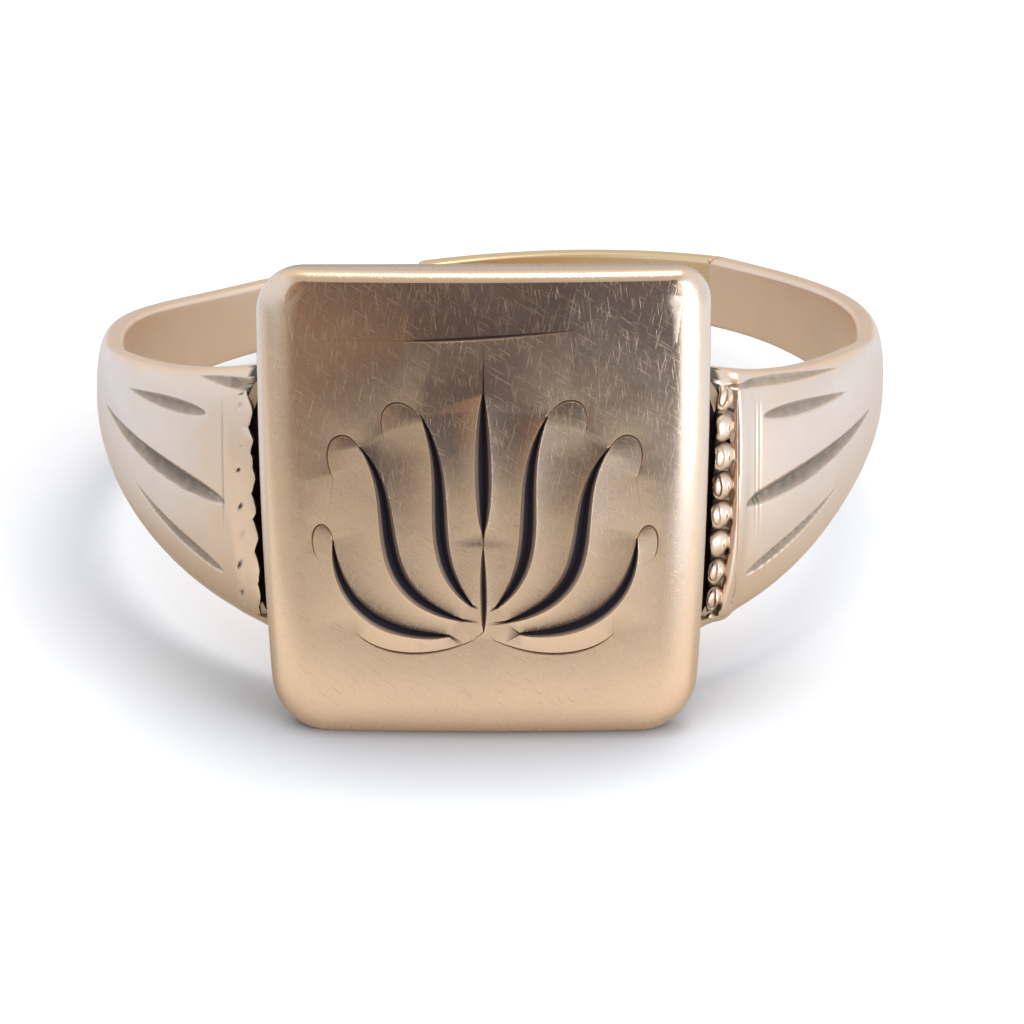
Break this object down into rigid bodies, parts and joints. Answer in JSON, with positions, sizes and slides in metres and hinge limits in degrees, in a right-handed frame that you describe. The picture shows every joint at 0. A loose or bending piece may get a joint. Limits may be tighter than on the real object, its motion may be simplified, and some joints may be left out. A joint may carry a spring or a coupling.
{
  "type": "signet ring",
  "caption": "Square-faced signet ring with fluted shoulders, beaded edges, an engraved leaf sprig and a let-in sizing piece at the back of the band.",
  "frame": {"origin": "centre of the finger bore", "axes": "+Z along the finger, the plate faces -Y, +X to the right as the plate is looked at"},
  "size_m": [0.02, 0.0213, 0.0119],
  "materials": {
    "plate_rose_gold": "worn polish, finely scratched",
    "seat_rose_gold": "matte, tarnished",
    "shank_rose_gold": "worn satin",
    "insert_yellow_gold": "worn satin",
    "beading_rose_gold": "worn, with dark recesses",
    "gold_solder": "matte"
  },
  "bodies": {
    "root": {"signet_plate": "plate_rose_gold", "plate_seat": "seat_rose_gold", "right_arm": "shank_rose_gold", "left_arm": "shank_rose_gold", "shank_insert": "insert_yellow_gold", "right_beading": "beading_rose_gold", "left_beading": "beading_rose_gold", "plate_solder": "gold_solder", "right_seat_solder": "gold_solder", "left_seat_solder": "gold_solder", "right_beading_solder": "gold_solder", "left_beading_solder": "gold_solder", "insert_solder": "gold_solder"}
  },
  "joints": []
}
